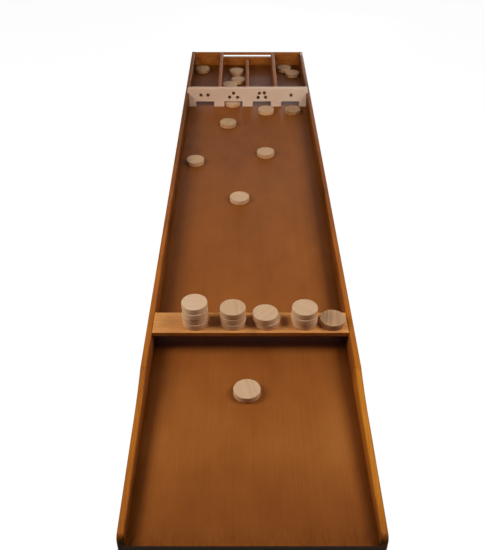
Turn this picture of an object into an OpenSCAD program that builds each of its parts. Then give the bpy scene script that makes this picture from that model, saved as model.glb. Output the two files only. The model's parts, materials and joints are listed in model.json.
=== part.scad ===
// Dutch shuffleboard: a long shallow tray with a start bar, a board with four gates,
// four compartments behind it, and a set of wooden discs.
// X runs across the board, +Y away from the player, +Z up. The origin lies on the table,
// under the middle of the board. Lengths are in millimetres.

/* [Board] */
// Length of the whole board
board_length = 2000; // [1950:10:2050]
// Width over the two rails
board_width = 410; // [408:1:414]
// Thickness of the rails, the back wall and the dividers
wall_thickness = 12; // [12:0.5:13]
// Height of the rails above the playing floor
wall_rise = 46; // [44:1:52]
// Thickness of the playing floor
floor_thickness = 8; // [6:1:9]
// Depth of the groove that holds the edge of the floor
groove_depth = 5; // [3:1:6]
// Radius of the rounded top edges of the rails, the back wall and the dividers
edge_radius = 3; // [1:0.5:4]

/* [Lowered front of the rails] */
// Distance from the front end at which the rails begin to drop
drop_start = 340; // [320:5:380]
// Steepness of the drop where it begins
drop_slope = 0.25; // [0.22:0.01:0.3]
// Radius of the hollow curve that eases the drop
drop_radius = 550; // [450:10:600]
// Steepness of the rest of the rail, down to its front end
front_slope = 0.05; // [0.03:0.01:0.07]
// Radius over the crest of the drop
crest_radius = 40; // [20:5:60]
// Radius of the rounded front top corner
nose_radius = 12; // [8:1:14]

/* [Start bar] */
// Distance from the front end of the board to the near edge of the bar
bar_front = 432; // [420:1:440]
// Depth of the bar along the board
bar_depth = 62; // [58:1:66]
// Thickness of the bar
bar_thickness = 10; // [9:1:12]
// Radius of the bar's rounded long edges
bar_edge_radius = 1.5; // [0.5:0.5:3]

/* [Gate board] */
// Distance from the front end of the board to the face of the gate board
gate_front = 1611; // [1600:1:1613]
// Thickness of the gate board
gate_thickness = 16; // [14:1:18]
// Height of the gate board above the rails
gate_rise = 17; // [12:1:22]
// Width of each gate
gate_width = 60; // [56:1:62]
// Height of each gate
gate_height = 18; // [16:1:20]
// Distance between the middles of neighbouring gates
gate_pitch = 94; // [92:1:95]
// How far each ear reaches over its rail
ear_reach = 4.5; // [3:0.5:8]
// Radius of the ears' top corners
ear_radius = 8; // [4:1:12]
// Radius of the gate board's rounded top edges
gate_edge_radius = 2; // [1:0.5:4]
// Diameter of the drilled dots that count each gate's points
dot_diameter = 11; // [8:0.5:12]
// Depth of the drilled dots
dot_depth = 8; // [4:1:10]

/* [Compartments] */
// How far the middle divider's top lies under the rails
middle_drop = 20; // [18:1:24]
// Height of the hand slot in the back wall
slot_height = 9; // [7:1:10]
// How far the hand slot lies under the top of the wall
slot_drop = 8; // [6:1:9]

/* [Discs] */
// Diameter of a disc
disc_diameter = 51; // [49:0.5:51.5]
// Height of a disc
disc_height = 13; // [12:0.5:14]
// Width of the chamfer round each edge of a disc
disc_chamfer = 1; // [0.5:0.1:1.5]

/* [Underside] */
// Thickness of the cross battens under the floor
batten_thickness = 12; // [10:1:14]
// Width of the cross battens
batten_width = 40; // [36:1:60]
// Height of the rubber feet
foot_height = 4; // [3:1:6]
// Diameter of the rubber feet
foot_diameter = 24; // [16:1:30]

/* [Hidden] */
FINE = 96;
SMALL = 32;
BROWN = [0.52, 0.30, 0.15];
FLOOR_BROWN = [0.56, 0.33, 0.18];
BAR_BROWN = [0.62, 0.38, 0.21];
BEECH = [0.84, 0.68, 0.54];
PALE_WOOD = [0.80, 0.66, 0.48];
RUBBER = [0.13, 0.12, 0.12];
ZINC = [0.72, 0.72, 0.70];

inner_width = board_width - 2 * wall_thickness;
floor_under = foot_height + batten_thickness;
floor_top = floor_under + floor_thickness;
rail_height = batten_thickness + floor_thickness + wall_rise;
rail_top = foot_height + rail_height;
wall_front = board_length - wall_thickness;
bar_bottom = rail_top - bar_thickness;
gate_back = gate_front + gate_thickness;
gate_full_height = wall_rise + gate_rise;
divider_seat = 3;
slot_width = 2 * gate_pitch - wall_thickness;

// Where two stretches of a rail's top meet, they cross at a slight angle, as on a sanded edge
crossing_angle = 2.6;

// The hollow curve of a rail's drop, in the plane of the rail: distance from the front end, and height
drop_angle = atan(drop_slope);
drop_centre = [
    drop_start - drop_radius * sin(drop_angle),
    rail_height + drop_radius * cos(drop_angle)
];

// The straight front part: its angle, and the point at which it leaves the hollow curve
front_angle = atan(front_slope);
drop_end_angle = front_angle - crossing_angle;
drop_end = drop_centre + drop_radius * [sin(drop_end_angle), -cos(drop_end_angle)];

// The crest's rounding, between the level top and the hollow curve
crest_centre_height = rail_height - crest_radius * cos(crossing_angle);
crest_reach_squared = pow(drop_radius, 2) + pow(crest_radius, 2)
    + 2 * drop_radius * crest_radius * cos(crossing_angle);
crest_side = sqrt(crest_reach_squared - pow(drop_centre[1] - crest_centre_height, 2));
crest_centre = [drop_centre[0] + crest_side, crest_centre_height];
crest_angle = atan2(crest_centre[1] - drop_centre[1], crest_side);

// The rounding of the front top corner
nose_inset = nose_radius * cos(crossing_angle);
nose_centre = [
    nose_inset,
    drop_end[1] - (drop_end[0] - nose_inset) * front_slope - nose_inset / cos(front_angle)
];

// Wood screws, and the clearance of the hole that each one sits in
screw_radius = 1.75;
screw_head_radius = 3.5;
screw_head_depth = 2;
screw_clearance = 0.05;
side_screw_length = 35;
wall_screw_length = 30;
batten_screw_length = batten_thickness + 5;

// Screw places on the rails: distance from the front end, and height above the table
bar_screws = [for (d = [0.25, 0.75]) [bar_front + d * bar_depth, rail_top - bar_thickness / 2]];
gate_screws = [for (h = [0.5, 0.8]) [gate_front + gate_thickness / 2, floor_top + h * wall_rise]];
wall_screws = [for (h = [0.25, 0.75]) [board_length - wall_thickness / 2, floor_top + h * wall_rise]];

// The cross battens' middles, and how far out their screws and feet are
batten_places = [batten_width / 2, 660, 1300, board_length - wall_thickness - batten_width / 2];
batten_names = ["front", "start", "field", "rear"];
batten_screw_reach = 130;
foot_reach = 172;

// Dots of a gate: each one's place across the gate and its height above the floor
dots_two = [[-12.5, 40], [10.5, 40]];
dots_three = [[0.5, 46.5], [-12.5, 32.5], [14, 32]];
dots_four = [[-8.5, 46], [7.5, 47.5], [-12.5, 31.5], [12, 32.5]];
dots_one = [[1.5, 39.5]];
gate_dots = [dots_two, dots_three, dots_four, dots_one];

// Stacks of discs on the start bar: place across the board, and number of discs
stacks = [[-109.5, 4], [-34.5, 3], [33.5, 2], [107, 3], [163, 1]];
// How far each disc of a stack is off the stack's middle, across and along the board, from the bar up
stack_shifts = [
    [[0.6, -0.6], [-0.4, 0.7], [0.5, -0.2], [0, 1.2]],
    [[0.5, -0.4], [-0.5, 0.3], [0, 0.9]],
    [[0, 0], [-4, 0.4]],
    [[0.8, 0.3], [-0.8, -0.7], [0, 0.6]],
    [[0, -1]]
];

// Discs on the floor: place across the board, and distance from the front end
field_discs = [
    [-7, 314], [-24, 1009], [51, 1266], [-152, 1217],
    [-62, 1467], [60, 1564], [147, 1564], [-49, 1625]
];
scored_discs = [[-163, 1923], [-39, 1903], [-32, 1820], [-61, 1775], [135, 1933], [163, 1882]];

SIDES = ["left", "right"];
DIVIDERS = ["left", "middle", "right"];
STACK_NODES = [for (s = [0:len(stacks) - 1], k = [1:stacks[s][1]]) str("stack_", s + 1, "_disc_", k)];
FIELD_NODES = [for (i = [1:len(field_discs)]) str("field_disc_", i)];
SCORED_NODES = [for (i = [1:len(scored_discs)]) str("scored_disc_", i)];
FOOT_NODES = [for (b = batten_names, s = SIDES) str(b, "_", s, "_foot")];

// Y of a place given by its distance from the front end
function along(distance) = distance - board_length / 2;

// A countersunk wood screw with its head's face at the origin, pointing up; a clearance makes its hole
module wood_screw(length, clearance = 0) {
    rotate_extrude($fn = SMALL)
        polygon([
            [0, 0],
            [screw_head_radius + clearance, 0],
            [screw_radius + clearance, screw_head_depth],
            [screw_radius + clearance, length - 4],
            [0.3, length + clearance],
            [0, length + clearance]
        ]);
}

// The screws driven through both rails at the given places
module rail_screws(places, clearance = 0) {
    for (side = [-1, 1], p = places)
        translate([side * board_width / 2, along(p[0]), p[1]])
            rotate([0, -90 * side, 0])
                wood_screw(side_screw_length, clearance);
}

// The screws driven through the back wall into the ends of the dividers
module wall_screw_set(clearance = 0) {
    for (column = [-1, 0, 1], h = column == 0 ? [0.3] : [0.25, 0.75])
        translate([column * gate_pitch, along(board_length), floor_top + h * wall_rise])
            rotate([90, 0, 0])
                wood_screw(wall_screw_length, clearance);
}

// The screws driven up through the battens into the floor
module batten_screw_set(clearance = 0) {
    for (place = batten_places, x = [-1, 0, 1] * batten_screw_reach)
        translate([x, along(place), foot_height])
            wood_screw(batten_screw_length, clearance);
}

// A rectangle that stands on the origin, with its two top corners rounded
module round_topped(width, height, radius) {
    translate([-width / 2, 0])
        square([width, height - radius]);
    translate([radius - width / 2, 0])
        square([width - 2 * radius, height]);
    for (side = [-1, 1])
        translate([side * (width / 2 - radius), height - radius])
            circle(radius, $fn = SMALL);
}

// Section of what is cut away over a rail: across its thickness, up to a height above its rounded top
module above_rail(height) {
    difference() {
        translate([-1, -edge_radius])
            square([wall_thickness + 2, edge_radius + height]);
        translate([wall_thickness / 2, -2 * edge_radius])
            round_topped(wall_thickness, 2 * edge_radius, edge_radius);
    }
}

// Cuts a straight stretch of a rail's top, from the origin towards the front
module cut_straight(length, height) {
    rotate([0, -90, 0])
        linear_extrude(length)
            above_rail(height);
}

// Cuts a hump into a rail's top, about its centre
module cut_hump(centre, radius, start, sweep) {
    translate(centre)
        rotate([0, 0, start])
            rotate_extrude(angle = sweep, $fn = 4 * FINE)
                translate([radius, 0])
                    mirror([1, -1])
                        above_rail(radius / 2);
}

// Cuts a hollow into a rail's top, about its centre
module cut_hollow(centre, radius, start, sweep) {
    translate(centre)
        rotate([0, 0, start])
            rotate_extrude(angle = sweep, $fn = 4 * FINE)
                translate([radius, 0])
                    rotate(90)
                        above_rail(radius / 20);
}

// A rail lying on its side: distance from the front end across, height up, thickness towards the eye.
// Its top runs level, over the crest, down the hollow drop, along the straight front part, round the
// front top corner and down the front end. Each cut runs on a little way past the next one's start.
module rail_body() {
    overlap = 0.1;
    difference() {
        cube([board_length, rail_height, wall_thickness]);
        cut_hollow(
            drop_centre, drop_radius,
            drop_end_angle - 90 - overlap, crest_angle + 90 - drop_end_angle + 2 * overlap
        );
        translate(drop_end)
            rotate([0, 0, front_angle])
                translate([10, 0])
                    cut_straight(drop_end[0] + 15, rail_height);
        translate([board_length + 1, rail_height])
            cut_straight(board_length + 1 - crest_centre[0], 1);
        cut_hump(crest_centre, crest_radius, 90, crest_angle + 90 + 5 * overlap);
        translate([0, rail_height])
            rotate([0, 0, 90])
                cut_straight(rail_height + 1, 1);
        cut_hump(nose_centre, nose_radius, 90 + front_angle, 90 - front_angle);
    }
}

// The right rail; its inner face carries the groove for the floor
module rail_blank() {
    difference() {
        translate([inner_width / 2, along(0), foot_height])
            rotate([90, 0, 90])
                rail_body();
        translate([inner_width / 2 - 1, along(-1), floor_under])
            cube([groove_depth + 1, wall_front + groove_depth + 1, floor_thickness]);
        rail_screws(concat(bar_screws, gate_screws, wall_screws), screw_clearance);
    }
}

module left_rail() {
    color(BROWN)
        mirror([1, 0, 0])
            rail_blank();
}

module right_rail() {
    color(BROWN)
        rail_blank();
}

// The playing floor, one panel from the front end into the back wall's groove
module floor_panel() {
    width = inner_width + 2 * groove_depth;
    color(FLOOR_BROWN)
        difference() {
            translate([-width / 2, along(0), floor_under])
                cube([width, wall_front + groove_depth, floor_thickness]);
            batten_screw_set(screw_clearance);
        }
}

// The back wall between the rails, with its hand slot
module back_wall() {
    color(BROWN)
        difference() {
            translate([-inner_width / 2, along(wall_front + wall_thickness / 2), foot_height])
                rotate([90, 0, 90])
                    linear_extrude(inner_width)
                        round_topped(wall_thickness, rail_height, edge_radius);
            translate([-inner_width / 2 - 1, along(wall_front) - 1, floor_under])
                cube([inner_width + 2, groove_depth + 1, floor_thickness]);
            translate([-slot_width / 2, along(wall_front) - 1, rail_top - slot_drop - slot_height])
                cube([slot_width, wall_thickness + 2, slot_height]);
            rail_screws(wall_screws, screw_clearance);
            wall_screw_set(screw_clearance);
        }
}

// The bar that a disc is pushed under, flush with the tops of the rails, its long edges rounded
module start_bar() {
    half = bar_thickness / 2;
    color(BAR_BROWN)
        difference() {
            translate([-inner_width / 2, along(bar_front + bar_depth / 2), bar_bottom + half])
                rotate([90, 0, 90])
                    linear_extrude(inner_width)
                        for (side = [0, 1])
                            mirror([0, side])
                                round_topped(bar_depth, half, bar_edge_radius);
            rail_screws(bar_screws, screw_clearance);
        }
}

// Front view of the gate board, from the floor up: four gates, and an ear over each rail
module gate_outline() {
    ear_half = inner_width / 2 + ear_reach;
    difference() {
        union() {
            translate([-inner_width / 2, 0])
                square([inner_width, wall_rise + 1]);
            translate([-ear_half, wall_rise])
                square([2 * ear_half, gate_rise - ear_radius]);
            translate([ear_radius - ear_half, wall_rise])
                square([2 * (ear_half - ear_radius), gate_rise]);
            for (side = [-1, 1])
                translate([side * (ear_half - ear_radius), gate_full_height - ear_radius])
                    circle(ear_radius, $fn = FINE);
        }
        for (i = [0:3])
            translate([(i - 1.5) * gate_pitch - gate_width / 2, -1])
                square([gate_width, gate_height + 1]);
    }
}

// The gate board, with drilled dots in front and a seat for each divider behind
module gate_board() {
    color(BEECH)
        difference() {
            intersection() {
                translate([0, along(gate_back), floor_top])
                    rotate([90, 0, 0])
                        linear_extrude(gate_thickness)
                            gate_outline();
                translate([-board_width / 2, along(gate_front + gate_thickness / 2), floor_top])
                    rotate([90, 0, 90])
                        linear_extrude(board_width)
                            round_topped(gate_thickness, gate_full_height, gate_edge_radius);
            }
            for (i = [0:3], dot = gate_dots[i])
                translate([(i - 1.5) * gate_pitch + dot[0], along(gate_front) - 1, floor_top + dot[1]])
                    rotate([-90, 0, 0])
                        cylinder(d = dot_diameter, h = dot_depth + 1, $fn = SMALL);
            for (i = [0:2])
                divider_block(i);
            rail_screws(gate_screws, screw_clearance);
        }
}

// One of the three dividers, from the gate board's seat to the back wall
module divider_block(i) {
    drop = i == 1 ? middle_drop : 0;
    translate([(i - 1) * gate_pitch, along(wall_front), floor_top])
        rotate([90, 0, 0])
            linear_extrude(wall_front - gate_back + divider_seat)
                round_topped(wall_thickness, wall_rise - drop, edge_radius);
}

module divider(i) {
    color(BROWN)
        difference() {
            divider_block(i);
            wall_screw_set(screw_clearance);
        }
}

// A cross batten under the floor, between the rails
module batten(place) {
    color(PALE_WOOD)
        difference() {
            translate([-inner_width / 2, along(place) - batten_width / 2, foot_height])
                cube([inner_width, batten_width, batten_thickness]);
            batten_screw_set(screw_clearance);
        }
}

module start_bar_screws() {
    color(ZINC)
        rail_screws(bar_screws);
}

module gate_board_screws() {
    color(ZINC)
        rail_screws(gate_screws);
}

module back_wall_screws() {
    color(ZINC)
        rail_screws(wall_screws);
}

module divider_screws() {
    color(ZINC)
        wall_screw_set();
}

module batten_screws() {
    color(ZINC)
        batten_screw_set();
}

// A rubber foot under a batten, a little wider where it is glued on
module foot(place, side) {
    color(RUBBER)
        translate([side * foot_reach, along(place), 0])
            cylinder(h = foot_height, d1 = foot_diameter - 2, d2 = foot_diameter, $fn = FINE);
}

// A turned disc with both edges chamfered, its lower face at the origin
module disc() {
    r = disc_diameter / 2;
    color(BEECH)
        rotate_extrude($fn = FINE)
            polygon([
                [0, 0],
                [r - disc_chamfer, 0],
                [r, disc_chamfer],
                [r, disc_height - disc_chamfer],
                [r - disc_chamfer, disc_height],
                [0, disc_height]
            ]);
}

// Disc k of stack s on the start bar, counted up from 1
module stack_disc(s, k) {
    shift = stack_shifts[s][k - 1];
    x = stacks[s][0] + shift[0];
    y = along(bar_front + bar_depth / 2) + shift[1];
    translate([x, y, rail_top + (k - 1) * disc_height])
        disc();
}

// A disc that lies on the playing floor
module floor_disc(place) {
    translate([place[0], along(place[1]), floor_top])
        disc();
}

floor_panel();
left_rail();
right_rail();
back_wall();
start_bar();
gate_board();
for (i = [0:2])
    divider(i);
for (i = [0:3])
    batten(batten_places[i]);
start_bar_screws();
gate_board_screws();
back_wall_screws();
divider_screws();
batten_screws();
for (i = [0:3], s = [0, 1])
    foot(batten_places[i], 2 * s - 1);
for (s = [0:len(stacks) - 1], k = [1:stacks[s][1]])
    stack_disc(s, k);
for (i = [0:len(field_discs) - 1])
    floor_disc(field_discs[i]);
for (i = [0:len(scored_discs) - 1])
    floor_disc(scored_discs[i]);
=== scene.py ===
# Dutch shuffleboard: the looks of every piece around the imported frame, and the studio it stands in.
# In metres, with +X to the player's right, +Y away from the player and +Z up. The board's middle is
# at x = y = 0 and the table top at z = 0.
import json
import math
import random

import bmesh
import bpy
from mathutils import Matrix, Vector


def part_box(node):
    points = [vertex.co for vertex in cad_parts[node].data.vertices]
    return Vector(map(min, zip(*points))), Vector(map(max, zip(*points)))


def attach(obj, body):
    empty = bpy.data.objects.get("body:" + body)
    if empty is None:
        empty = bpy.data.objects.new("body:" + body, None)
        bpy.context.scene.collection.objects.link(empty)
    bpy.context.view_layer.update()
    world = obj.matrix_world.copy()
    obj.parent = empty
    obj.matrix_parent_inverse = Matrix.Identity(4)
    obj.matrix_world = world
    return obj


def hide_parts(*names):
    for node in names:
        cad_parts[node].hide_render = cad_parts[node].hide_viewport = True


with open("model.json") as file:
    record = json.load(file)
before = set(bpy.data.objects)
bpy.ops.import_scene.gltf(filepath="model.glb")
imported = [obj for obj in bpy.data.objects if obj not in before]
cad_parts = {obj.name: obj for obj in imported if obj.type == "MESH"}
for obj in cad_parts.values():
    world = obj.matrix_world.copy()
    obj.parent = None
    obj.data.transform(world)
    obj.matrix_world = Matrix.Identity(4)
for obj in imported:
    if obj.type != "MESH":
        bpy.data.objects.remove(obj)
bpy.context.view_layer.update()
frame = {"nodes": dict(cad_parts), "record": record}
BODY_OF = {
    node: body
    for body, nodes in frame["record"]["behaviour"]["bodies"].items()
    for node in nodes
}
SLOT_OF = {part["node"]: part["material_slot"] for part in frame["record"]["subparts"]}

UP = Vector((0.0, 0.0, 1.0))
WHITE = (1.0, 1.0, 1.0, 1.0)

# Camera: fitted to the board's edges in the photograph, pitch in degrees
IMAGE_HEIGHT = 550
FOCAL_PIXELS = 710.4
SENSOR = 36.0
CAMERA_PLACE = (-0.0134, -1.6105, 0.9971)
CAMERA_PITCH = 37.0
PRINCIPAL_SHIFT = -1.6 / IMAGE_HEIGHT


def make_camera():
    data = bpy.data.cameras.new("camera")
    data.sensor_width = SENSOR
    data.lens = FOCAL_PIXELS / IMAGE_HEIGHT * SENSOR
    data.shift_x = PRINCIPAL_SHIFT
    data.clip_start = 0.05
    data.clip_end = 60.0
    camera = bpy.data.objects.new("camera", data)
    camera.location = CAMERA_PLACE
    camera.rotation_euler = (math.radians(90.0 - CAMERA_PITCH), 0.0, 0.0)
    bpy.context.scene.collection.objects.link(camera)
    bpy.context.scene.camera = camera


make_camera()

# Light: a large soft lamp beside each rail, the left one stronger, and weak ones towards the gates
# and the back. Each has its place, the point it looks at, its size, its power in watts and its
# spread in degrees. The world adds a little light from all sides.
LAMPS = {
    "left_lamp": ((-1.40, -0.60, 1.36), (0.0, -0.20, 0.05), (0.95, 0.9), 29, 180.0),
    "right_lamp": ((1.20, -0.55, 1.42), (0.0, -0.20, 0.05), (0.95, 0.9), 24, 180.0),
    "gate_lamp": ((0.0, -0.9, 0.9), (0.0, 0.61, 0.06), (0.4, 0.2), 0.2, 40.0),
    "back_lamp": ((0.3, 1.90, 0.20), (0.0, 1.0, 0.04), (0.9, 0.25), 1.0, 60.0),
}
WORLD_LIGHT = 0.01


def soft_lamp(name, place, target, size, power, spread):
    data = bpy.data.lights.new(name, "AREA")
    data.shape = "RECTANGLE"
    data.size, data.size_y = size
    data.energy = power
    data.spread = math.radians(spread)
    lamp = bpy.data.objects.new(name, data)
    lamp.location = place
    lamp.rotation_euler = (Vector(target) - Vector(place)).to_track_quat("-Z", "Y").to_euler()
    bpy.context.scene.collection.objects.link(lamp)


def white_glow(tree, kind, strength):
    """A node of the kind, background or emission, that gives white light."""
    made = tree.nodes.new(kind)
    made.inputs["Color"].default_value = WHITE
    made.inputs["Strength"].default_value = strength
    return made


def show_white(tree, lit, white, surface, share=1.0):
    """Feeds the surface with the lit shader, and with a share of the white one for every ray that
    shows the background: from the camera, through glass or off a glossy face."""
    path = tree.nodes.new("ShaderNodeLightPath")
    seen = path.outputs["Is Camera Ray"]
    for ray in ("Is Transmission Ray", "Is Glossy Ray"):
        either = tree.nodes.new("ShaderNodeMath")
        either.operation = "MAXIMUM"
        tree.links.new(seen, either.inputs[0])
        tree.links.new(path.outputs[ray], either.inputs[1])
        seen = either.outputs[0]
    part = tree.nodes.new("ShaderNodeMath")
    part.operation = "MULTIPLY"
    part.inputs[1].default_value = share
    tree.links.new(seen, part.inputs[0])
    mix = tree.nodes.new("ShaderNodeMixShader")
    for socket, source in zip(mix.inputs, (part, lit, white)):
        tree.links.new(source.outputs[0], socket)
    tree.links.new(mix.outputs[0], surface)


def make_world():
    world = bpy.data.worlds.new("studio")
    world.use_nodes = True
    tree = world.node_tree
    tree.nodes.clear()
    output = tree.nodes.new("ShaderNodeOutputWorld")
    light = white_glow(tree, "ShaderNodeBackground", WORLD_LIGHT)
    seen = white_glow(tree, "ShaderNodeBackground", 1.0)
    show_white(tree, light, seen, output.inputs["Surface"])
    bpy.context.scene.world = world


for lamp_name, lamp_settings in LAMPS.items():
    soft_lamp(lamp_name, *lamp_settings)
make_world()


# Materials
class Graph:
    """Short calls for the nodes of one material."""

    def __init__(self, name):
        self.material = bpy.data.materials.new(name)
        self.material.use_nodes = True
        self.tree = self.material.node_tree
        self.shader = self.tree.nodes["Principled BSDF"]

    def node(self, kind, **settings):
        made = self.tree.nodes.new(kind)
        for key, value in settings.items():
            setattr(made, key, value)
        return made

    def feed(self, socket, value):
        if isinstance(value, bpy.types.NodeSocket):
            self.tree.links.new(value, socket)
        else:
            socket.default_value = value

    def attribute(self, name):
        return self.node("ShaderNodeAttribute", attribute_name=name).outputs["Vector"]

    def object_place(self):
        return self.node("ShaderNodeTexCoord").outputs["Object"]

    def math(self, operation, *values, clamp=False):
        made = self.node("ShaderNodeMath", operation=operation, use_clamp=clamp)
        for socket, value in zip(made.inputs, values):
            self.feed(socket, value)
        return made.outputs[0]

    def added(self, total, *parts, clamp=False):
        """The total with each (value, weight) pair added to it."""
        for value, weight in parts:
            total = self.math("MULTIPLY_ADD", value, weight, total, clamp=clamp)
        return total

    def centred(self, value, middle=0.5):
        return self.math("SUBTRACT", value, middle)

    def scaled(self, vector, scale):
        made = self.node("ShaderNodeVectorMath", operation="MULTIPLY")
        self.feed(made.inputs[0], vector)
        made.inputs[1].default_value = scale
        return made.outputs[0]

    def noise(self, vector, scale, detail=2.0, roughness=0.5):
        """Noise with a scale per metre for each axis."""
        made = self.node("ShaderNodeTexNoise")
        self.feed(made.inputs["Vector"], self.scaled(vector, scale))
        made.inputs["Scale"].default_value = 1.0
        made.inputs["Detail"].default_value = detail
        made.inputs["Roughness"].default_value = roughness
        return made.outputs["Fac"]

    def spread(self, value, low, high, to_low=0.0, to_high=1.0):
        """The value eased from one range to another."""
        made = self.node("ShaderNodeMapRange", interpolation_type="SMOOTHSTEP")
        limits = {"From Min": low, "From Max": high, "To Min": to_low, "To Max": to_high}
        for key, number in limits.items():
            made.inputs[key].default_value = number
        self.feed(made.inputs["Value"], value)
        return made.outputs[0]

    def ramp(self, value, stops):
        made = self.node("ShaderNodeValToRGB")
        elements = made.color_ramp.elements
        while len(elements) < len(stops):
            elements.new(0.5)
        for element, (position, colour) in zip(elements, stops):
            element.position = position
            element.color = (*colour, 1.0)
        self.feed(made.inputs["Fac"], value)
        return made.outputs["Color"]

    def finish(self, colour, roughness, height, strength, distance, specular=None):
        """Feeds the shader and returns the material."""
        self.feed(self.shader.inputs["Base Color"], colour)
        self.feed(self.shader.inputs["Roughness"], roughness)
        if specular is not None:
            self.shader.inputs["Specular IOR Level"].default_value = specular
        bump = self.node("ShaderNodeBump")
        bump.inputs["Strength"].default_value = strength
        bump.inputs["Distance"].default_value = distance
        self.feed(bump.inputs["Height"], height)
        self.feed(self.shader.inputs["Normal"], bump.outputs["Normal"])
        return self.material


# How a wood's figure is made. Rings sway by a length, and wobble by a share of a year's width. The
# scales are per metre, along the grain and then twice across it, and the weights are shares of the
# way from the darkest tone to the lightest.
RING_SWAY = 0.030
RING_WOBBLE = 0.35
LATE_WOOD_STEEPNESS = 2.5
YEAR_BREAK = 0.12
SWAY_SCALE = (1.1, 6.0, 6.0)
WOBBLE_SCALE = (6.0, 45.0, 45.0)
LONG_FIBRE_ALONG, LONG_FIBRE_ACROSS = 5.0, 330.0
FINE_FIBRE_SCALE = (38.0, 1900.0, 1900.0)
CLOUD_SCALE = (4.0, 9.0, 9.0)
PATCH_SCALE = (14.0, 26.0, 26.0)
FLECK_SCALE = (210.0, 900.0, 900.0)
WEAR_SCALE = (60.0, 160.0, 160.0)
TONE_WEIGHT = 0.25
END_GRAIN_WEIGHT = -0.16
WEAR_WEIGHT = 0.14
# How much fibres, clouds and end grain change the roughness
FIBRE_SHEEN, CLOUD_SHEEN, END_SHEEN = 0.14, 0.10, 0.12


def wood(
    name, stops, ring_gap, rings, fibres, flecks, clouds, roughness, specular, bump, fineness=1.0,
):
    """Wood whose figure comes from its place in the tree: growth rings round the pith, fibres along
    the grain, small dark flecks and cloudy stain. The stops run from the darkest to the lightest
    tone, ring_gap is the width of a year, and fineness makes the fibres thinner and straighter.
    Rings, fibres, flecks and clouds say how strong each of them is."""
    g = Graph(name)
    place = g.attribute("wood_place")
    shade = g.node("ShaderNodeSeparateXYZ")
    g.feed(shade.inputs[0], g.attribute("wood_shade"))
    tone, end, edge = shade.outputs
    # growth rings: late wood darkens slowly towards the end of a year, which then breaks off
    across = g.node("ShaderNodeVectorMath", operation="LENGTH")
    g.feed(across.inputs[0], g.scaled(place, (0.0, 1.0, 1.0)))
    reach = g.added(
        across.outputs["Value"],
        (g.noise(place, SWAY_SCALE, detail=1.0), RING_SWAY),
        (g.noise(place, WOBBLE_SCALE), RING_WOBBLE * ring_gap),
    )
    count = g.math("DIVIDE", reach, ring_gap)
    part = g.math("FRACT", count)
    late = g.math("POWER", part, LATE_WOOD_STEEPNESS)
    early = g.spread(part, 0.0, YEAR_BREAK, 1.0, 0.0)
    # every year has a strength of its own, from 0.2 to 1
    year = g.node("ShaderNodeTexWhiteNoise", noise_dimensions="1D")
    g.feed(year.inputs["W"], g.math("FLOOR", count))
    strength = g.math("MULTIPLY_ADD", year.outputs["Value"], 0.8, 0.2)
    band = g.math("MULTIPLY", g.math("MAXIMUM", late, early), strength)
    # fibres, clouds and flecks
    thin = LONG_FIBRE_ACROSS * fineness
    long_scale = (LONG_FIBRE_ALONG / fineness, thin, thin)
    long_fibre = g.noise(place, long_scale, detail=3.0, roughness=0.62)
    fine_fibre = g.noise(place, FINE_FIBRE_SCALE, roughness=0.6)
    cloud = g.noise(place, CLOUD_SCALE, detail=3.0, roughness=0.55)
    patch = g.noise(place, PATCH_SCALE)
    cell = g.node("ShaderNodeTexVoronoi", feature="F1")
    g.feed(cell.inputs["Vector"], g.scaled(place, FLECK_SCALE))
    cell.inputs["Scale"].default_value = 1.0
    tint = g.node("ShaderNodeSeparateColor")
    g.feed(tint.inputs[0], cell.outputs["Color"])
    shape = g.spread(cell.outputs["Distance"], 0.10, 0.30, 1.0, 0.0)
    fleck = g.math("MULTIPLY", shape, g.spread(tint.outputs[0], 0.45, 0.95))
    # tone from 0, dark, to 1, light
    value = g.added(
        g.math("MULTIPLY_ADD", tone, TONE_WEIGHT, 0.5),
        (g.centred(cloud), clouds),
        (g.centred(patch), 0.6 * clouds),
        (g.centred(long_fibre), fibres),
        (g.centred(fine_fibre), 0.6 * fibres),
        (g.centred(band, 0.25), -rings),
        (fleck, -flecks),
        (end, END_GRAIN_WEIGHT),
    )
    rubbed = g.spread(g.noise(place, WEAR_SCALE, detail=3.0), 0.35, 0.65)
    value = g.added(value, (g.math("MULTIPLY", edge, rubbed), WEAR_WEIGHT), clamp=True)
    # the sheen changes with the fibres and the clouds, round its mean, and end grain is duller
    rough = g.added(
        roughness, (g.centred(long_fibre), FIBRE_SHEEN), (g.centred(cloud), CLOUD_SHEEN),
        (end, END_SHEEN),
    )
    height = g.added(long_fibre, (fine_fibre, 0.6), (fleck, -0.5), (band, -0.25))
    return g.finish(g.ramp(value, stops), rough, height, bump, 0.0003, specular)


def zinc():
    """Zinc-plated steel with faint turning marks and dull patches."""
    g = Graph("zinc_steel")
    where = g.object_place()
    patch = g.noise(where, (420.0, 420.0, 420.0), detail=3.0)
    scratch = g.noise(where, (5200.0, 900.0, 5200.0))
    value = g.added(g.math("MULTIPLY", patch, 0.65), (scratch, 0.35))
    colour = g.ramp(value, ((0.2, (0.34, 0.33, 0.30)), (0.8, (0.66, 0.66, 0.63))))
    g.shader.inputs["Metallic"].default_value = 1.0
    return g.finish(colour, g.spread(value, 0.2, 0.8, 0.48, 0.30), scratch, 0.25, 0.0001)


def rubber():
    """Matt black rubber with a fine moulded grain and some dust."""
    g = Graph("rubber")
    where = g.object_place()
    grain = g.noise(where, (2600.0, 2600.0, 2600.0))
    dust = g.noise(where, (160.0, 160.0, 160.0), detail=4.0, roughness=0.65)
    colour = g.ramp(dust, ((0.35, (0.012, 0.012, 0.012)), (0.75, (0.045, 0.042, 0.038))))
    return g.finish(colour, g.spread(dust, 0.3, 0.7, 0.70, 0.88), grain, 0.4, 0.0002, 0.3)


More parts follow.
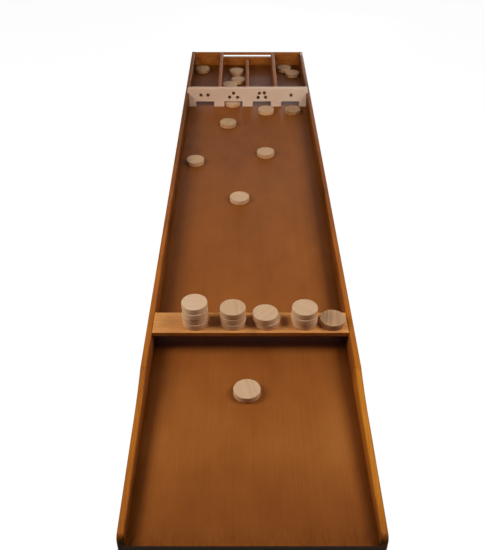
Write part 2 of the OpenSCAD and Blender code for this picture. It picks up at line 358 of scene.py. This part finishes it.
def dot_paint():
    """Dark brown stain inside the drilled dots, uneven where the end of the drill stopped."""
    g = Graph("dot_paint")
    where = g.object_place()
    patch = g.noise(where, (700.0, 700.0, 700.0), detail=3.0)
    turned = g.noise(where, (900.0, 5200.0, 900.0))
    colour = g.ramp(patch, ((0.3, (0.11, 0.043, 0.013)), (0.75, (0.27, 0.112, 0.038))))
    return g.finish(colour, g.spread(patch, 0.3, 0.7, 0.55, 0.75), turned, 0.3, 0.0002, 0.15)


# The colours of each wood, from its darkest tone at 0 to its lightest at 1, and its figure
WOODS = {
    "stained_wood": dict(
        stops=(
            (0.0, (0.022, 0.012, 0.005)), (0.07, (0.110, 0.030, 0.001)),
            (0.35, (0.28, 0.080, 0.018)), (0.6, (0.43, 0.135, 0.010)),
            (1.0, (0.60, 0.24, 0.035)),
        ),
        ring_gap=0.0032, rings=0.16, fibres=0.24, flecks=0.14, clouds=0.30,
        roughness=0.42, specular=0.02, bump=0.30,
    ),
    "floor_veneer": dict(
        stops=(
            (0.0, (0.028, 0.012, 0.003)), (0.04, (0.085, 0.0195, 0.0003)),
            (0.4, (0.197, 0.055, 0.0095)), (0.6, (0.251, 0.076, 0.0135)),
            (1.0, (0.37, 0.130, 0.028)),
        ),
        ring_gap=0.0058, rings=0.05, fibres=0.22, flecks=0.06, clouds=0.36,
        roughness=0.40, specular=0.05, bump=0.15, fineness=2.2,
    ),
    "beech": dict(
        stops=(
            (0.0, (0.26, 0.13, 0.06)), (0.35, (0.53, 0.33, 0.21)),
            (0.6, (0.63, 0.42, 0.29)), (1.0, (0.76, 0.57, 0.42)),
        ),
        ring_gap=0.0030, rings=0.09, fibres=0.13, flecks=0.10, clouds=0.14,
        roughness=0.48, specular=0.09, bump=0.25,
    ),
    "disc_beech": dict(
        stops=(
            (0.0, (0.18, 0.080, 0.027)), (0.35, (0.46, 0.275, 0.150)),
            (0.6, (0.55, 0.355, 0.215)), (1.0, (0.70, 0.52, 0.36)),
        ),
        ring_gap=0.0028, rings=0.22, fibres=0.22, flecks=0.20, clouds=0.22,
        roughness=0.50, specular=0.03, bump=0.30,
    ),
    # The rim wood is the disc wood brighter and more orange: partly the rims' own grain, partly
    # painted light that the floor throws onto the discs' sides
    "disc_rim": dict(
        stops=(
            (0.0, (0.22, 0.088, 0.026)), (0.35, (0.57, 0.315, 0.150)),
            (0.6, (0.67, 0.400, 0.215)), (1.0, (0.79, 0.550, 0.345)),
        ),
        ring_gap=0.0028, rings=0.16, fibres=0.22, flecks=0.20, clouds=0.22,
        roughness=0.55, specular=0.03, bump=0.30,
    ),
    "bar_wood": dict(
        stops=(
            (0.0, (0.14, 0.040, 0.005)), (0.35, (0.36, 0.130, 0.025)),
            (0.6, (0.50, 0.198, 0.050)), (1.0, (0.68, 0.31, 0.10)),
        ),
        ring_gap=0.0032, rings=0.11, fibres=0.19, flecks=0.12, clouds=0.26,
        roughness=0.42, specular=0.06, bump=0.35,
    ),
    # The battens' near-black is painted shade, for the shade under the board
    "batten_wood": dict(
        stops=(
            (0.0, (0.006, 0.003, 0.002)), (0.35, (0.014, 0.008, 0.005)),
            (0.6, (0.021, 0.013, 0.009)), (1.0, (0.045, 0.028, 0.018)),
        ),
        ring_gap=0.0042, rings=0.30, fibres=0.34, flecks=0.05, clouds=0.22,
        roughness=0.70, specular=0.05, bump=0.60,
    ),
}
MATERIALS = {name: wood(name, **look) for name, look in WOODS.items()}
MATERIALS.update(zinc_steel=zinc(), rubber=rubber(), dot_paint=dot_paint())


# Pieces
def seeded(name):
    """Random numbers that depend on the name alone."""
    return random.Random(sum((i + 1) * ord(letter) for i, letter in enumerate(name)))


def eased(stops, at):
    """The value at a place between (place, value) pairs, eased from pair to pair."""
    if at <= stops[0][0]:
        return stops[0][1]
    for (a, low), (b, high) in zip(stops, stops[1:]):
        if at <= b:
            part = (at - a) / (b - a)
            return low + (high - low) * part * part * (3 - 2 * part)
    return stops[-1][1]


# Behind this place along the board, the large faces at a point say which way it faces, because the
# slivers at a rail's crest would mislead. In front of it, at the rails' noses, all of its faces do.
NOSES_END = -0.95
# A face counts as end grain from this cosine to the grain on, fully so from the second one
END_GRAIN_COSINES = (0.35, 0.85)
# Radians between a point and one of its faces from which its edge counts as fully worn
WORN_ANGLE = 0.25


def set_wood_fields(mesh, grain, pith, tone):
    """Stores where each point lies in the tree, and how end grain, edges and tone shade it. Grain
    is the direction of the fibres, pith is where the tree's middle passes the piece, and tone is
    one value or a function of a point and its normal."""
    along = Vector(grain).normalized()
    side = along.cross(UP).normalized()
    pith = Vector(pith)
    sharpest = [0.0] * len(mesh.vertices)
    facing = [Vector() for _ in mesh.vertices]
    for polygon in mesh.polygons:
        for index in polygon.vertices:
            facing[index] += polygon.area * polygon.normal
            cosine = max(-1.0, min(1.0, polygon.normal.dot(mesh.vertices[index].normal)))
            sharpest[index] = max(sharpest[index], math.acos(cosine))
    places = []
    shades = []
    end_from, end_to = END_GRAIN_COSINES
    for vertex in mesh.vertices:
        out = vertex.co - pith
        places += (out.dot(along), out.dot(side), out.dot(UP))
        normal = facing[vertex.index].normalized() if vertex.co.y > NOSES_END else vertex.normal
        end = (abs(normal.dot(along)) - end_from) / (end_to - end_from)
        level = tone(vertex.co, normal) if callable(tone) else tone
        worn = min(1.0, sharpest[vertex.index] / WORN_ANGLE)
        shades += (level, min(1.0, max(0.0, end)), worn)
    for name, values in (("wood_place", places), ("wood_shade", shades)):
        field = mesh.attributes.new(name, "FLOAT_VECTOR", "POINT")
        field.data.foreach_set("vector", values)


def add_piece(node, bm, materials, wood_fields=None, sharp=50.0):
    """Makes a piece from the mesh that stands for the CAD node and rides on its body. Edges of more
    than the sharp angle, in degrees, aren't smoothed over."""
    name = node + "_finish"
    mesh = bpy.data.meshes.new(name)
    bm.to_mesh(mesh)
    bm.free()
    for material in materials:
        mesh.materials.append(MATERIALS[material])
    mesh.polygons.foreach_set("use_smooth", [True] * len(mesh.polygons))
    mesh.set_sharp_from_angle(angle=math.radians(sharp))
    if wood_fields:
        set_wood_fields(mesh, *wood_fields)
    piece = bpy.data.objects.new(name, mesh)
    bpy.context.scene.collection.objects.link(piece)
    normals = piece.modifiers.new("normals", "WEIGHTED_NORMAL")
    normals.keep_sharp = True
    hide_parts(node)
    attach(piece, BODY_OF[node])


# Distances for cleaning a mesh: doubled points and slivers in the CAD mesh, and close points and
# slivers that rounding and cutting leave
DOUBLED = 2e-6
CAD_SLIVER = 2e-5
CLOSE = 5e-6
SLIVER = 2e-6
# Degrees up to which neighbouring faces are one flat face, and from which an edge is rounded
FLAT_ANGLE = 0.4
SHARP_ANGLE = 30.0
# How wide edges are rounded
EDGE_WIDTH = 0.0005
GATE_EDGE_WIDTH = 0.0004
FLOOR_EDGE_WIDTH = 0.0003
BATTEN_EDGE_WIDTH = 0.0008


def cad_copy(node):
    """The CAD node's mesh with its doubled points joined."""
    bm = bmesh.new()
    bm.from_mesh(frame["nodes"][node].data)
    bmesh.ops.remove_doubles(bm, verts=bm.verts, dist=DOUBLED)
    return bm


def whole_faces(bm):
    """Makes the flat faces of a CAD mesh whole."""
    bmesh.ops.dissolve_limit(
        bm, angle_limit=math.radians(FLAT_ANGLE), verts=bm.verts, edges=bm.edges,
        use_dissolve_boundaries=False,
    )


def ease_edges(bm, width):
    """Rounds every sharp edge, as sanding does."""
    limit = math.radians(SHARP_ANGLE)
    sharp = [e for e in bm.edges if len(e.link_faces) == 2 and e.calc_face_angle() > limit]
    bmesh.ops.bevel(
        bm, geom=sharp, offset=width, offset_type="OFFSET", segments=2, profile=0.5,
        affect="EDGES", clamp_overlap=True, loop_slide=True, material=-1,
    )


def cut_at(bm, axis, places):
    """Cuts the faces at places on an axis, so that a tone can change between the cuts."""
    normal = [float(k == axis) for k in range(3)]
    for place in places:
        geometry = bm.verts[:] + bm.edges[:] + bm.faces[:]
        point = [place * k for k in normal]
        bmesh.ops.bisect_plane(bm, geom=geometry, dist=1e-6, plane_co=point, plane_no=normal)


def join_close(bm):
    """Joins points that the rounding and the cuts left almost on each other, and drops the faces
    between them."""
    bmesh.ops.remove_doubles(bm, verts=bm.verts, dist=CLOSE)
    bmesh.ops.dissolve_degenerate(bm, dist=SLIVER, edges=bm.edges)


ACROSS = (1.0, 0.0, 0.0)
ALONG = (0.0, 1.0, 0.0)


def board_piece(node, grain, pith, tone, width=EDGE_WIDTH, material=None, cuts=()):
    """A sawn piece with its edges eased. Cuts are (axis, places) pairs."""
    bm = cad_copy(node)
    whole_faces(bm)
    bmesh.ops.dissolve_degenerate(bm, dist=CAD_SLIVER, edges=bm.edges)
    ease_edges(bm, width)
    for axis, places in cuts:
        cut_at(bm, axis, places)
    join_close(bm)
    start = Vector(grain) * -seeded(node).uniform(3.0, 9.0)
    fields = (grain, Vector(pith) + start, tone)
    add_piece(node, bm, [material or SLOT_OF[node]], fields)


# The tone, 0 for the usual one, at places along the board. It is partly the stain's own change and
# partly painted light and shade: lighter near the front and darker towards the far end, where less
# light falls, and on the floor also darker at its front end, under the start bar and in the
# compartments
LEFT_RAIL_TONE = (
    (-1.0, -0.1), (-0.90, 0.0), (-0.4, -0.1), (-0.2, -0.6), (0.2, -1.2), (0.42, -1.45), (0.6, -1.2),
    (1.0, -1.3),
)
RIGHT_RAIL_TONE = (
    (-1.0, 0.1), (-0.90, 1.1), (-0.68, 1.25), (-0.65, 0.1), (-0.5, 0.0), (-0.3, -0.6), (0.2, -1.1),
    (1.0, -1.2),
)
FLOOR_TONE = (
    (-1.0, -0.4), (-0.93, -0.05), (-0.80, 0.8), (-0.66, 0.35), (-0.61, -0.15), (-0.57, -0.35),
    (-0.50, -0.3), (-0.46, 0.15), (-0.35, 0.1), (0.2, -0.2), (0.60, -0.1), (0.64, -1.0),
    (1.0, -1.25),
)
# Painted shade in the corners between floor and rails: by distance from the middle, by height on the
# rails' inner sides, and how strong it is at places along the board
FLOOR_CORNER_SHADE = ((0.160, 0.0), (0.183, -1.0), (0.193, -1.3))
RAIL_FOOT_SHADE = ((0.024, -1.5), (0.040, -1.15), (0.062, -0.8))
LEFT_SHADE_ALONG = ((-1.0, 1.2), (-0.88, 1.7), (-0.5, 1.1), (0.0, 0.5), (1.0, 0.4))
RIGHT_SHADE_ALONG = ((-1.0, 0.5), (-0.88, 1.1), (-0.5, 1.1), (0.0, 0.5), (1.0, 0.4))
# Painted shade added to the tone of faces that look to the front, where no lamp stands: on the rails
# by how far they are turned there, on the floor and the start bar in proportion to it
RAIL_FRONT_SHADE = ((0.0, 0.0), (0.5, -0.75), (0.96, -0.85), (1.0, -1.4))
FLOOR_FRONT_SHADE = -2.3
BAR_FRONT_SHADE = -1.75
# The rails' outer sides are mixed with this share of this tone
OUTER_TONE = -0.35
OUTER_SHARE = 0.75
# The painted shade darkens the rails and the floor no further than this
LOWEST_TONE = -1.6
LOWEST_FLOOR_TONE = -1.8
# In front of this lie only the points of the rails' flat front ends
FLAT_FRONT = -0.9999
BAR_TONE = 0.9
# The gate board's tone in its middle, the painted light added per metre to the right, and the
# painted shade added on its top
GATE_TONE, GATE_LIGHT_ACROSS, GATE_TOP_SHADE = 0.6, 3.0, -0.7


def forward(normal):
    """How far a face looks to the front, from 0 to 1."""
    return max(0.0, -normal.y)


def floor_tone(point, normal):
    along = RIGHT_SHADE_ALONG if point.x > 0 else LEFT_SHADE_ALONG
    # painted shade: darker towards the rails, and on faces that look to the front
    corner_shade = eased(FLOOR_CORNER_SHADE, abs(point.x)) * eased(along, point.y)
    level = max(LOWEST_FLOOR_TONE, eased(FLOOR_TONE, point.y) + corner_shade)
    return level + FLOOR_FRONT_SHADE * forward(normal)


def rail_tone(stops):
    def tone(point, normal):
        outward = math.copysign(1.0, point.x) * normal.x
        level = eased(stops, point.y)
        level += OUTER_SHARE * max(0.0, outward) * (OUTER_TONE - level)
        # painted shade: darker low on the inner sides, and on faces that look to the front
        level = max(LOWEST_TONE, level + max(0.0, -outward) * eased(RAIL_FOOT_SHADE, point.z))
        turned = 1.0 if point.y < FLAT_FRONT else forward(normal)
        return level + eased(RAIL_FRONT_SHADE, turned)

    return tone


def bar_tone(point, normal):
    # painted shade on faces that look to the front
    return BAR_TONE + BAR_FRONT_SHADE * forward(normal)


def gate_tone(point, normal):
    # painted light towards the right, and painted shade on the top
    return GATE_TONE + GATE_LIGHT_ACROSS * point.x + GATE_TOP_SHADE * max(0.0, normal.z)


# Where the rails and the floor are cut, so that their tone can change there
EVERY_4_CM = [-0.96 + 0.04 * i for i in range(49)]
RAIL_CUTS = ((1, [-0.998] + EVERY_4_CM), (2, (0.0245, 0.031, 0.038, 0.045, 0.054, 0.062)))
FLOOR_SIDE_CUTS = (0.155, 0.165, 0.172, 0.178, 0.184, 0.189, 0.1925)
FLOOR_CUTS = ((1, EVERY_4_CM), (0, [side * x for side in (-1, 1) for x in FLOOR_SIDE_CUTS]))

board_piece("left_rail", ALONG, (-0.32, 0.0, -0.16), rail_tone(LEFT_RAIL_TONE), cuts=RAIL_CUTS)
board_piece("right_rail", ALONG, (0.36, 0.0, -0.12), rail_tone(RIGHT_RAIL_TONE), cuts=RAIL_CUTS)
board_piece("back_wall", ACROSS, (0.0, 1.20, -0.10), -0.6)
board_piece("start_bar", ACROSS, (0.0, -0.62, 0.30), bar_tone, material="bar_wood")
# The dividers' dark tones are painted shade, for the weaker light at the board's far end
board_piece("left_divider", ALONG, (-0.25, 0.0, 0.20), -1.1)
board_piece("middle_divider", ALONG, (0.22, 0.0, 0.18), -0.9)
board_piece("right_divider", ALONG, (0.30, 0.0, 0.22), -1.1)
board_piece(
    "floor_panel", ALONG, (0.75, 0.0, 0.10), floor_tone, FLOOR_EDGE_WIDTH, cuts=FLOOR_CUTS,
)
for rank, name in enumerate(("front", "start", "field", "rear")):
    pith_place = (0.0, -1.2 + 0.7 * rank, 0.06)
    board_piece(name + "_batten", ACROSS, pith_place, 0.0, BATTEN_EDGE_WIDTH)

# Gate board: the faces inside a dot lie between these depths behind the board's front, are smaller
# than this area in square metres, lie this far above its foot and below its top, and less than this
# far from the middle
DOT_DEPTHS = (0.0004, 0.0085)
DOT_AREA = 1.2e-4
DOTS_ABOVE_FOOT = 0.024
DOTS_BELOW_TOP = 0.004
DOTS_WITHIN = 0.167
EVERY_4_CM_ACROSS = [-0.18 + 0.04 * i for i in range(10)]


def gate_board():
    """The gate board, with dark stain inside its drilled dots."""
    bm = cad_copy("gate_board")
    whole_faces(bm)
    low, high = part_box("gate_board")
    for polygon in bm.faces:
        middle = polygon.calc_center_median()
        deep = DOT_DEPTHS[0] < middle.y - low[1] < DOT_DEPTHS[1]
        above_gates = low[2] + DOTS_ABOVE_FOOT < middle.z < high[2] - DOTS_BELOW_TOP
        between_ears = abs(middle.x) < DOTS_WITHIN
        in_dot = deep and above_gates and between_ears and polygon.calc_area() < DOT_AREA
        polygon.material_index = int(in_dot)
    ease_edges(bm, GATE_EDGE_WIDTH)
    cut_at(bm, 0, EVERY_4_CM_ACROSS)
    join_close(bm)
    fields = (ACROSS, (-5.0, 0.55, -0.06), gate_tone)
    add_piece("gate_board", bm, ["beech", "dot_paint"], fields)


gate_board()


# Turned pieces
def turned_rings(bm, profile, segments):
    """Rings of points round Z at (radius, height) pairs, with faces from each ring to the next."""
    rings = []
    for radius, height in profile:
        rings.append([
            bm.verts.new((radius * math.cos(turn), radius * math.sin(turn), height))
            for turn in (2 * math.pi * i / segments for i in range(segments))
        ])
    for lower, upper in zip(rings, rings[1:]):
        for i in range(segments):
            j = (i + 1) % segments
            bm.faces.new((lower[i], lower[j], upper[j], upper[i]))
    return rings


def lathe(profile, segments):
    """A closed solid turned from (radius, height) pairs that run from the lower middle to the
    upper one."""
    bm = bmesh.new()
    rings = turned_rings(bm, profile, segments)
    bm.faces.new(list(reversed(rings[0])))
    bm.faces.new(rings[-1])
    return bm


def rounded_profile(radius, height, edge, steps):
    """The outer profile of a turned piece with both edges rounded."""
    turns = [math.pi / 2 * i / steps for i in range(steps + 1)]
    inner = radius - edge
    lower = [(inner + edge * math.sin(t), edge - edge * math.cos(t)) for t in turns]
    upper = [(inner + edge * math.cos(t), height - edge + edge * math.sin(t)) for t in turns]
    return lower + upper


# Grain directions, in degrees from across the board, and tones of the discs whose tops show them
GRAIN_OF = {
    "stack_1_disc_4": 0.0, "stack_2_disc_3": 95.0, "stack_3_disc_2": 40.0, "stack_4_disc_3": 145.0,
    "stack_5_disc_1": 80.0, "field_disc_1": 105.0,
}
TONE_OF = {
    "stack_1_disc_4": 0.65, "stack_2_disc_3": -0.15, "stack_3_disc_2": 0.2, "stack_4_disc_3": 0.15,
    "stack_5_disc_1": -0.9, "field_disc_1": 0.15, "field_disc_2": 0.25, "field_disc_3": -0.3,
    "field_disc_4": -0.5, "field_disc_5": -0.5, "field_disc_6": 0.0, "field_disc_7": -1.1,
    "scored_disc_1": -0.9, "scored_disc_2": -0.6, "scored_disc_3": -0.9, "scored_disc_5": -0.7,
    "scored_disc_6": -0.7,
}
DISC_EDGE = 0.0014
DISC_FLAT_RING = 0.006
# Faces of a disc that look up or down less than this belong to its rim, whose brighter, more orange
# wood is partly the rim's own grain and partly painted light from the floor's bounce
RIM_COSINE = 0.6


def disc(node):
    """A turned disc; its grain direction, place in the tree and tone differ from disc to disc."""
    low, high = (Vector(corner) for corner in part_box(node))
    middle = (low + high) / 2
    radius = (high.x - low.x) / 2
    height = high.z - low.z
    flat = radius - DISC_FLAT_RING
    outer = rounded_profile(radius, height, DISC_EDGE, steps=6)
    bm = lathe([(flat, 0.0), *outer, (flat, height)], segments=96)
    bmesh.ops.translate(bm, verts=bm.verts, vec=(middle.x, middle.y, low.z))
    chance = seeded(node)
    heading = math.radians(GRAIN_OF.get(node, chance.uniform(0.0, 180.0)))
    grain = Vector((math.cos(heading), math.sin(heading), 0.0))
    lean = math.radians(chance.uniform(20.0, 160.0))
    depth = chance.uniform(0.05, 0.16)
    sideways = grain.cross(UP) * math.cos(lean)
    pith = middle + (sideways - UP * math.sin(lean)) * depth - grain * chance.uniform(2.0, 9.0)
    tone = TONE_OF.get(node, chance.uniform(-0.7, 0.7))
    for polygon in bm.faces:
        polygon.normal_update()
        polygon.material_index = int(abs(polygon.normal.z) < RIM_COSINE)
    add_piece(node, bm, ["disc_beech", "disc_rim"], (grain, pith, tone))


def islands(node):
    """The lowest and the highest corner of each separate solid in a CAD node's mesh."""
    bm = cad_copy(node)
    unseen = set(bm.verts)
    boxes = []
    while unseen:
        group = {unseen.pop()}
        edge = list(group)
        while edge:
            near = {e.other_vert(v) for v in edge for e in v.link_edges} & unseen
            unseen -= near
            group |= near
            edge = list(near)
        axes = list(zip(*(v.co for v in group)))
        boxes.append([tuple(map(pick, axes)) for pick in (min, max)])
    bm.free()
    return sorted(boxes)


# Wood screws of 3.5 mm, with grooves in place of a thread. The shares are of the screw's length,
# and the recess's taper is the size of its bottom next to its mouth.
HEAD_RADIUS, HEAD_EDGE, HEAD_DEPTH = 0.0035, 0.00015, 0.002
SHANK_RADIUS, SHANK_SHARE = 0.00175, 0.4
CORE_RADIUS, TIP_RADIUS = 0.00135, 0.0002
GROOVE_PITCH, GROOVED_SHARE = 0.0014, 0.5
RECESS_ARM, RECESS_HALF_WIDTH, RECESS_DEPTH, RECESS_TAPER = 0.0019, 0.00042, 0.0013, 0.45


def screw_profile(length):
    """The (radius, height) pairs of a screw, from the edge of its head's face to its tip."""
    profile = [
        (HEAD_RADIUS - HEAD_EDGE, 0.0), (HEAD_RADIUS, HEAD_EDGE), (SHANK_RADIUS, HEAD_DEPTH),
        (SHANK_RADIUS, SHANK_SHARE * length),
    ]
    for i in range(int(GROOVED_SHARE * length / GROOVE_PITCH)):
        base = SHANK_SHARE * length + i * GROOVE_PITCH
        profile += [
            (CORE_RADIUS, base + 0.25 * GROOVE_PITCH), (CORE_RADIUS, base + 0.6 * GROOVE_PITCH),
            (SHANK_RADIUS, base + 0.85 * GROOVE_PITCH),
        ]
    return profile + [(CORE_RADIUS, 0.9 * length + 0.001), (TIP_RADIUS, length)]


def screw(length, turn):
    """A countersunk wood screw with a cross recess. Its head's face is at the origin and looks
    down."""
    bm = bmesh.new()
    rings = turned_rings(bm, screw_profile(length), segments=48)
    bm.faces.new(rings[-1])
    # cross recess, narrower towards its bottom
    corners = []
    for quarter in range(4):
        spin = Matrix.Rotation(quarter * math.pi / 2 + turn, 3, "Z")
        for x, y in (
            (RECESS_ARM, -RECESS_HALF_WIDTH), (RECESS_ARM, RECESS_HALF_WIDTH),
            (RECESS_HALF_WIDTH, RECESS_HALF_WIDTH),
        ):
            corners.append(spin @ Vector((x, y, 0.0)))
    mouth = [bm.verts.new(c) for c in corners]
    base = [bm.verts.new((c.x * RECESS_TAPER, c.y * RECESS_TAPER, RECESS_DEPTH)) for c in corners]
    for i in range(len(corners)):
        j = (i + 1) % len(corners)
        bm.faces.new((mouth[j], mouth[i], base[i], base[j]))
    bm.faces.new(list(reversed(base)))
    # the head's face, between its edge and the recess
    borders = [
        bm.edges.get((loop[i], loop[(i + 1) % len(loop)]))
        for loop in (rings[0], mouth)
        for i in range(len(loop))
    ]
    bmesh.ops.triangle_fill(
        bm, use_beauty=True, use_dissolve=False, edges=borders, normal=(0.0, 0.0, -1.0),
    )
    bmesh.ops.recalc_face_normals(bm, faces=bm.faces)
    return bm


def screws(node):
    """Every screw of a group, each placed where its CAD solid is, with its head outwards."""
    whole = bmesh.new()
    chance = seeded(node)
    for low, high in islands(node):
        low, high = Vector(low), Vector(high)
        size = high - low
        axis = max(range(3), key=lambda k: size[k])
        # the head looks down, to the back, or out through the nearer rail
        outward = (math.copysign(1.0, low.x + high.x), 1.0, -1.0)[axis]
        head = (low + high) / 2
        head[axis] = high[axis] if outward > 0 else low[axis]
        into = Vector([-outward if k == axis else 0.0 for k in range(3)])
        one = screw(size[axis], chance.uniform(0.0, math.pi / 2))
        turned = into.to_track_quat("Z", "Y").to_matrix().to_4x4()
        bmesh.ops.transform(one, matrix=Matrix.Translation(head) @ turned, verts=one.verts)
        carried = bpy.data.meshes.new("screw")
        one.to_mesh(carried)
        one.free()
        whole.from_mesh(carried)
        bpy.data.meshes.remove(carried)
    add_piece(node, whole, ["zinc_steel"], sharp=35.0)


def foot(node):
    """A moulded rubber foot with a rounded tread and a hollow in its middle."""
    low, high = (Vector(corner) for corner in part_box(node))
    middle = (low + high) / 2
    top = (high.x - low.x) / 2
    height = high.z - low.z
    hollow = [(0.0035, 0.0022), (0.0045, 0.0018), (0.0052, 0.0004), (0.0058, 0.0)]
    tread = [(top - 0.0019, 0.0), (top - 0.0013, 0.0002), (top - 0.0009, 0.0008)]
    rim = [(top - 0.0001, height - 0.0004), (top - 0.0004, height)]
    bm = lathe(hollow + tread + rim, segments=64)
    bmesh.ops.translate(bm, verts=bm.verts, vec=(middle.x, middle.y, low.z))
    add_piece(node, bm, ["rubber"], sharp=40.0)


for node, slot in SLOT_OF.items():
    if slot == "disc_beech":
        disc(node)
for node, slot in SLOT_OF.items():
    if slot == "zinc_steel":
        screws(node)
    if slot == "rubber":
        foot(node)

# The hidden CAD nodes keep their slot's finish too
for node, slot in SLOT_OF.items():
    materials = frame["nodes"][node].data.materials
    materials.clear()
    materials.append(MATERIALS[slot])

# The plain table top: half its side, its grey, which takes the shadow, and the strength and the
# share of the white over it
TABLE_HALF = 20.0
TABLE_GREY = (0.55, 0.55, 0.55, 1.0)
TABLE_WHITE = 1.12
TABLE_WHITE_SHARE = 0.86


def make_floor():
    mesh = bpy.data.meshes.new("table_top")
    corners = [(x * TABLE_HALF, y * TABLE_HALF, 0) for x, y in ((-1, -1), (1, -1), (1, 1), (-1, 1))]
    mesh.from_pydata(corners, [], [(0, 1, 2, 3)])
    floor = bpy.data.objects.new("table_top", mesh)
    bpy.context.scene.collection.objects.link(floor)
    material = bpy.data.materials.new("table_top")
    material.use_nodes = True
    tree = material.node_tree
    shader = tree.nodes["Principled BSDF"]
    shader.inputs["Base Color"].default_value = TABLE_GREY
    shader.inputs["Roughness"].default_value = 0.9
    shader.inputs["Specular IOR Level"].default_value = 0.1
    white = white_glow(tree, "ShaderNodeEmission", TABLE_WHITE)
    surface = tree.nodes["Material Output"].inputs["Surface"]
    show_white(tree, shader, white, surface, TABLE_WHITE_SHARE)
    floor.data.materials.append(material)


make_floor()
bpy.context.scene.view_settings.view_transform = "Standard"
